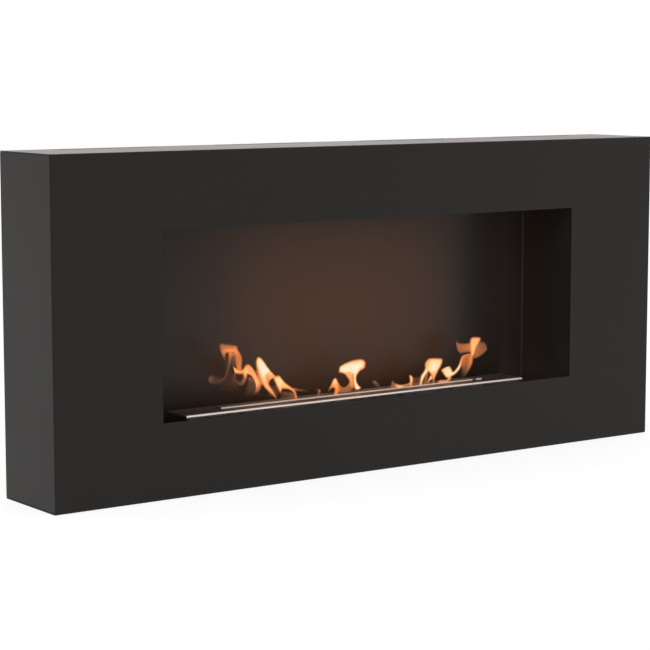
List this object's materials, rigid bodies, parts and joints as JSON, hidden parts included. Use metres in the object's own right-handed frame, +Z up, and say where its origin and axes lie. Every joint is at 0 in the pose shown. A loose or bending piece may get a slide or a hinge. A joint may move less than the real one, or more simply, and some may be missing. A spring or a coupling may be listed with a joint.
{
  "type": "bioethanol fireplace",
  "caption": "Long, shallow wall-hung bioethanol fireplace: folded steel casing, open fire niche, lift-out stainless burner with a collared slot and a crosswise shutter.",
  "frame": {"origin": "middle of the footprint, on the surface that the casing's flat bottom can stand on", "axes": "+X to the right as seen from the front, +Y to the rear (towards the wall), +Z up"},
  "size_m": [1.2, 0.155, 0.53],
  "materials": {
    "powder_coat": "matt black fine powder coat",
    "niche_coat": "matt heat-resistant black coat",
    "stainless": "brushed stainless steel, heat-toned",
    "zinc_steel": "bright zinc-plated steel",
    "ceramic_fibre": "soft white ceramic fibre",
    "buffer_rubber": "matt black rubber"
  },
  "bodies": {
    "casing_body": {"casing": "powder_coat", "back_panel": "powder_coat", "niche_left_wall": "niche_coat", "niche_right_wall": "niche_coat", "niche_ceiling": "niche_coat", "niche_back": "niche_coat", "burner_shelf": "niche_coat", "shelf_support_left": "zinc_steel", "shelf_support_right": "zinc_steel", "burner_cradle_left": "zinc_steel", "burner_cradle_right": "zinc_steel", "heat_shield": "zinc_steel", "hanger_plate_left": "zinc_steel", "hanger_plate_right": "zinc_steel", "wall_buffer_left": "buffer_rubber", "wall_buffer_right": "buffer_rubber", "panel_tab_top_1": "powder_coat", "panel_tab_top_2": "powder_coat", "panel_tab_top_3": "powder_coat", "panel_tab_bottom_1": "powder_coat", "panel_tab_bottom_2": "powder_coat", "panel_tab_bottom_3": "powder_coat", "panel_tab_left": "powder_coat", "panel_tab_right": "powder_coat", "panel_screw_top_1": "zinc_steel", "panel_screw_top_2": "zinc_steel", "panel_screw_top_3": "zinc_steel", "panel_screw_bottom_1": "zinc_steel", "panel_screw_bottom_2": "zinc_steel", "panel_screw_bottom_3": "zinc_steel", "panel_screw_left": "zinc_steel", "panel_screw_right": "zinc_steel", "shield_standoff_upper_left": "zinc_steel", "shield_standoff_upper_right": "zinc_steel", "shield_standoff_lower_left": "zinc_steel", "shield_standoff_lower_right": "zinc_steel", "shield_screw_upper_left": "zinc_steel", "shield_screw_upper_right": "zinc_steel", "shield_screw_lower_left": "zinc_steel", "shield_screw_lower_right": "zinc_steel", "hanger_rivet_left_1": "zinc_steel", "hanger_rivet_left_2": "zinc_steel", "hanger_rivet_right_1": "zinc_steel", "hanger_rivet_right_2": "zinc_steel"},
    "burner": {"burner_tank": "stainless", "burner_top_plate": "stainless", "fibre_block_1": "ceramic_fibre", "fibre_block_2": "ceramic_fibre", "fibre_block_3": "ceramic_fibre", "shutter_rail_left": "stainless", "shutter_rail_right": "stainless"},
    "shutter": {"shutter_plate": "stainless", "shutter_lug": "stainless"}
  },
  "joints": [
    {"name": "burner_lift", "type": "slide", "parent": "casing_body", "child": "burner", "axis": [0, 0, 1], "range_m": [0, 0.06]},
    {"name": "shutter_slide", "type": "slide", "parent": "burner", "child": "shutter", "axis": [0, 1, 0], "range_m": [0, 0.01625]}
  ]
}
